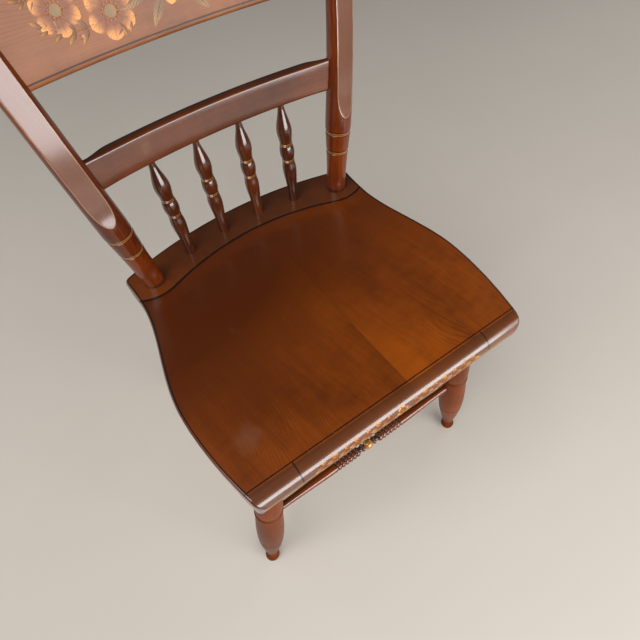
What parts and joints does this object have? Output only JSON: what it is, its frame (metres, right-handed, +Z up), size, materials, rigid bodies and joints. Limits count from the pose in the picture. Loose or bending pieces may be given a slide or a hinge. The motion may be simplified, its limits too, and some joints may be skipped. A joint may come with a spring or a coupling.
{
  "type": "side chair",
  "caption": "Wooden plank-seat side chair with turned legs, half spindles, a bowed crest slat and gold painted flowers and bands.",
  "frame": {"origin": "on the floor, under the middle of the chair's bounding box", "axes": "+Z up, the front of the seat faces -Y, and +X is to the right of someone who faces the front"},
  "size_m": [0.4402, 0.4438, 0.8385],
  "materials": {
    "seat_wood": "stained maple under clear gloss lacquer, with thin black lines",
    "rail_wood": "stained maple under clear gloss lacquer, with flowers and leaves in gold and bronze",
    "turned_wood": "stained maple under clear gloss lacquer, with gold lines in the turnings",
    "brad_steel": "dull"
  },
  "bodies": {
    "root": {"seat_board_1": "seat_wood", "seat_board_2": "seat_wood", "seat_board_3": "seat_wood", "seat_board_4": "seat_wood", "front_roll_strip": "seat_wood", "lower_rail": "rail_wood", "crest_rail": "rail_wood", "back_post_left": "turned_wood", "back_post_right": "turned_wood", "spindle_1": "turned_wood", "spindle_2": "turned_wood", "spindle_3": "turned_wood", "spindle_4": "turned_wood", "front_leg_left": "turned_wood", "front_leg_right": "turned_wood", "rear_leg_left": "turned_wood", "rear_leg_right": "turned_wood", "front_stretcher": "turned_wood", "side_stretcher_left": "turned_wood", "side_stretcher_right": "turned_wood", "rear_stretcher": "turned_wood", "lower_rail_brads": "brad_steel", "crest_rail_brads": "brad_steel"}
  },
  "joints": []
}
